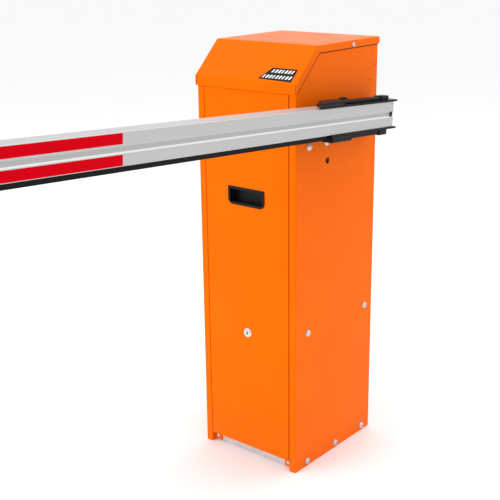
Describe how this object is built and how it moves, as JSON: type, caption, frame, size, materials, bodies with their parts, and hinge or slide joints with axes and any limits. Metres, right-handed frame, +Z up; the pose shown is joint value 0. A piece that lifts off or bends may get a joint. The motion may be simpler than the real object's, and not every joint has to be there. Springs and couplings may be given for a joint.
{
  "type": "parking barrier gate",
  "caption": "Boom barrier gate: sheet steel cabinet with slanted cap, lift-out door, cam lock and geared drive, carrying an aluminium boom with red strips.",
  "frame": {"origin": "on the ground at the middle of the cabinet's footprint, the centre of the anchor bolt pattern in the base", "axes": "+Z up, square to the ground; -Y is the cabinet's front and the way the lowered boom points; +X is the side that carries the boom"},
  "size_m": [0.3642, 3.0368, 1.0712],
  "materials": {
    "painted_orange": "semi-gloss powder coat",
    "painted_black": "satin black powder coat",
    "galvanised": "galvanised sheet",
    "zinc_screw": "zinc-plated fastener",
    "boom_aluminium": "natural anodised extrusion",
    "reflective_red": "retroreflective film",
    "badge_film": "printed film badge",
    "black_rubber": "matte rubber",
    "black_plastic": "moulded plastic",
    "grey_plastic": "moulded plastic",
    "board_green": "circuit board with components",
    "lock_chrome": "polished",
    "machined_steel": "machined",
    "cast_housing": "as-cast",
    "spring_steel": "oiled spring steel",
    "bronze": "sintered bronze"
  },
  "bodies": {
    "cabinet": {"base_frame": "galvanised", "left_side_panel": "painted_orange", "right_side_panel": "painted_orange", "rear_panel": "painted_orange", "top_cap": "painted_orange", "badge_plate": "badge_film", "mid_shelf": "galvanised", "top_rail": "galvanised", "panel_screws": "zinc_screw", "panel_washers": "zinc_screw", "sheet_screws": "zinc_screw", "foot_screws": "zinc_screw", "drive_plate": "machined_steel", "inner_plate": "machined_steel", "cage_spacers": "machined_steel", "spacer_bolts": "zinc_screw", "outer_bearing_housing": "cast_housing", "inner_bearing_housing": "cast_housing", "outer_bearing": "machined_steel", "inner_bearing": "machined_steel", "bearing_bolts": "zinc_screw", "gearbox_housing": "cast_housing", "motor_housing": "cast_housing", "motor_cover": "black_plastic", "pinion_bush": "bronze", "balance_spring": "spring_steel", "limit_sensors": "zinc_screw", "sensor_bracket": "galvanised", "stop_bumpers": "black_rubber", "stop_brackets": "machined_steel", "shaft_escutcheon": "black_plastic", "control_box": "grey_plastic", "control_box_lid": "grey_plastic", "control_board": "board_green", "din_rail": "galvanised", "circuit_breaker": "grey_plastic", "terminal_block": "grey_plastic"},
    "door": {"door_panel": "painted_orange", "door_handle": "black_plastic", "lock_body": "lock_chrome", "lock_nut": "zinc_screw"},
    "lock": {"lock_plug": "lock_chrome", "lock_cam": "zinc_screw", "lock_cam_screw": "zinc_screw"},
    "boom": {"main_shaft": "machined_steel", "sector_gear": "machined_steel", "spring_lever": "machined_steel", "sensor_flag": "galvanised", "hub_flange": "machined_steel", "boom_holder": "painted_black", "upper_clamp_bar": "painted_black", "lower_clamp_bar": "painted_black", "clamp_bar_bolts": "zinc_screw", "boom_profile": "boom_aluminium", "boom_end_plug": "black_plastic", "boom_tip_cap": "black_plastic", "boom_rubber": "black_rubber", "boom_strips": "reflective_red"},
    "pinion": {"drive_pinion": "machined_steel"},
    "toggle": {"breaker_toggle": "black_plastic"}
  },
  "joints": [
    {"name": "boom_swing", "type": "hinge", "parent": "cabinet", "child": "boom", "pos_m": [0.15, 0.012, 0.8385], "axis": [-1, 0, 0], "range_deg": [-4, 86]},
    {"name": "pinion_spin", "type": "hinge", "parent": "cabinet", "child": "pinion", "pos_m": [0.1, -0.039, 0.74104], "axis": [-1, 0, 0], "range_deg": [-240, 20]},
    {"name": "door_swing", "type": "hinge", "parent": "cabinet", "child": "door", "pos_m": [0, -0.1555, 0.901], "axis": [-1, 0, 0], "range_deg": [0, 35]},
    {"name": "lock_turn", "type": "hinge", "parent": "door", "child": "lock", "pos_m": [0, -0.1575, 0.327], "axis": [0, -1, 0], "range_deg": [0, 90]},
    {"name": "toggle_throw", "type": "hinge", "parent": "cabinet", "child": "toggle", "pos_m": [-0.052, 0.092, 0.25], "axis": [1, 0, 0], "range_deg": [0, 80]}
  ],
  "couplings": [
    {"joint": "pinion_spin", "follows": "boom_swing", "ratio": -2.6667}
  ]
}
